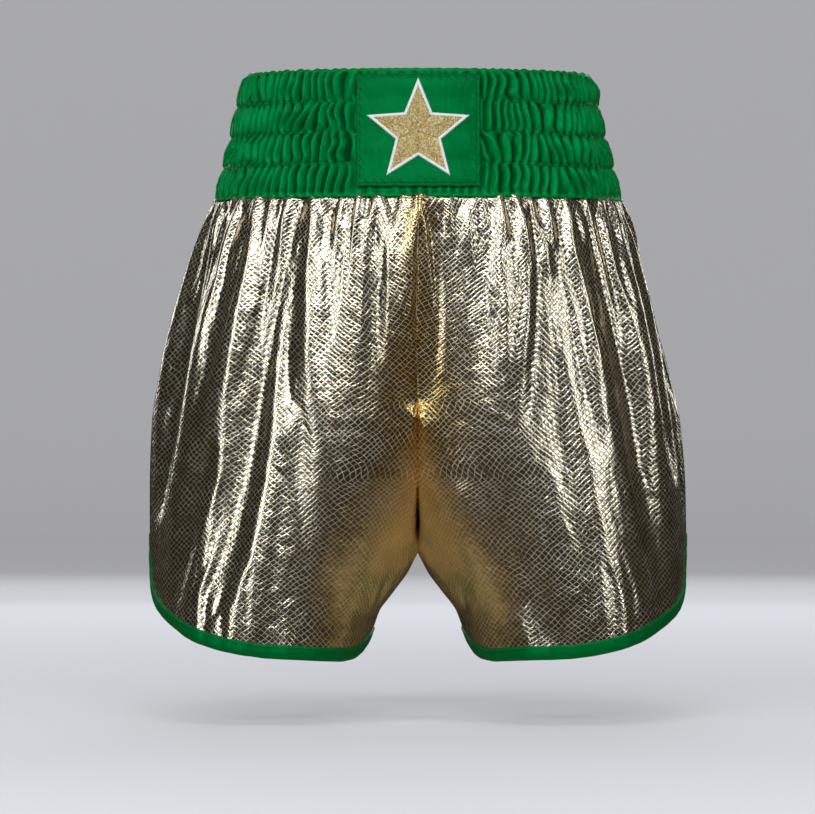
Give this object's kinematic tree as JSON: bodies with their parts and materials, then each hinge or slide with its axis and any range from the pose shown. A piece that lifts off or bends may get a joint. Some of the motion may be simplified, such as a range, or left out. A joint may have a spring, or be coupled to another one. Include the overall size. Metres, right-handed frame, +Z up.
{
  "type": "boxing shorts",
  "caption": "Knee-length boxing shorts with a high ruched elastic waistband, foil fabric legs, bound hems with rounded side vents and a star badge.",
  "frame": {"origin": "on the ground under the middle of the shorts' width and depth, at the lowest edge of the hems", "axes": "+Z up to the waistband, -Y the front with the badge, +X the wearer's left"},
  "size_m": [0.4524, 0.2559, 0.475],
  "materials": {
    "foil_panel": "metallic foil with a fine scale pattern",
    "facing_foil": "metallic foil with a fine scale pattern",
    "waistband_satin": "ruched satin",
    "binding_satin": "folded satin binding",
    "badge_satin": "flat satin",
    "bartack_thread": "satin-stitched thread",
    "stitch_thread": "sewing thread",
    "star_thread": "metallic embroidery thread",
    "star_border_thread": "embroidery thread",
    "elastic": "woven elastic",
    "drawcord": "flat braid",
    "label": "woven tape",
    "eyelet": "polished"
  },
  "bodies": {
    "waist": {"back_panel_left_hip": "foil_panel", "back_panel_right_hip": "foil_panel", "badge_panel": "badge_satin", "badge_star_border": "star_border_thread", "badge_star_fill": "star_thread", "drawcord": "drawcord", "drawcord_eyelet_left": "eyelet", "drawcord_eyelet_right": "eyelet", "elastic_band_1": "elastic", "elastic_band_2": "elastic", "elastic_band_3": "elastic", "elastic_band_4": "elastic", "front_panel_left_hip": "foil_panel", "front_panel_right_hip": "foil_panel", "size_label": "label", "stitch_row_1": "stitch_thread", "stitch_row_2": "stitch_thread", "stitch_row_3": "stitch_thread", "waistband_cover": "waistband_satin", "waistband_facing": "facing_foil"},
    "left_leg": {"front_panel_left_leg": "foil_panel", "back_panel_left_leg": "foil_panel", "hem_binding_left": "binding_satin", "vent_bartack_left": "bartack_thread"},
    "cord_tail_left": {"drawcord_tail_left": "drawcord"},
    "right_leg": {"front_panel_right_leg": "foil_panel", "back_panel_right_leg": "foil_panel", "hem_binding_right": "binding_satin", "vent_bartack_right": "bartack_thread"},
    "cord_tail_right": {"drawcord_tail_right": "drawcord"}
  },
  "joints": [
    {"name": "left_leg_swing", "type": "hinge", "parent": "waist", "child": "left_leg", "pos_m": [0.1, 0.0001, 0.191], "axis": [-1, 0, 0], "range_deg": [-20, 35]},
    {"name": "right_leg_swing", "type": "hinge", "parent": "waist", "child": "right_leg", "pos_m": [-0.1, 0.0001, 0.191], "axis": [-1, 0, 0], "range_deg": [-20, 35]},
    {"name": "cord_tail_left_swing", "type": "hinge", "parent": "waist", "child": "cord_tail_left", "pos_m": [0.014, -0.09907, 0.386], "axis": [1, 0, 0], "range_deg": [0, 25]},
    {"name": "cord_tail_right_swing", "type": "hinge", "parent": "waist", "child": "cord_tail_right", "pos_m": [-0.014, -0.09907, 0.386], "axis": [1, 0, 0], "range_deg": [0, 25]}
  ]
}
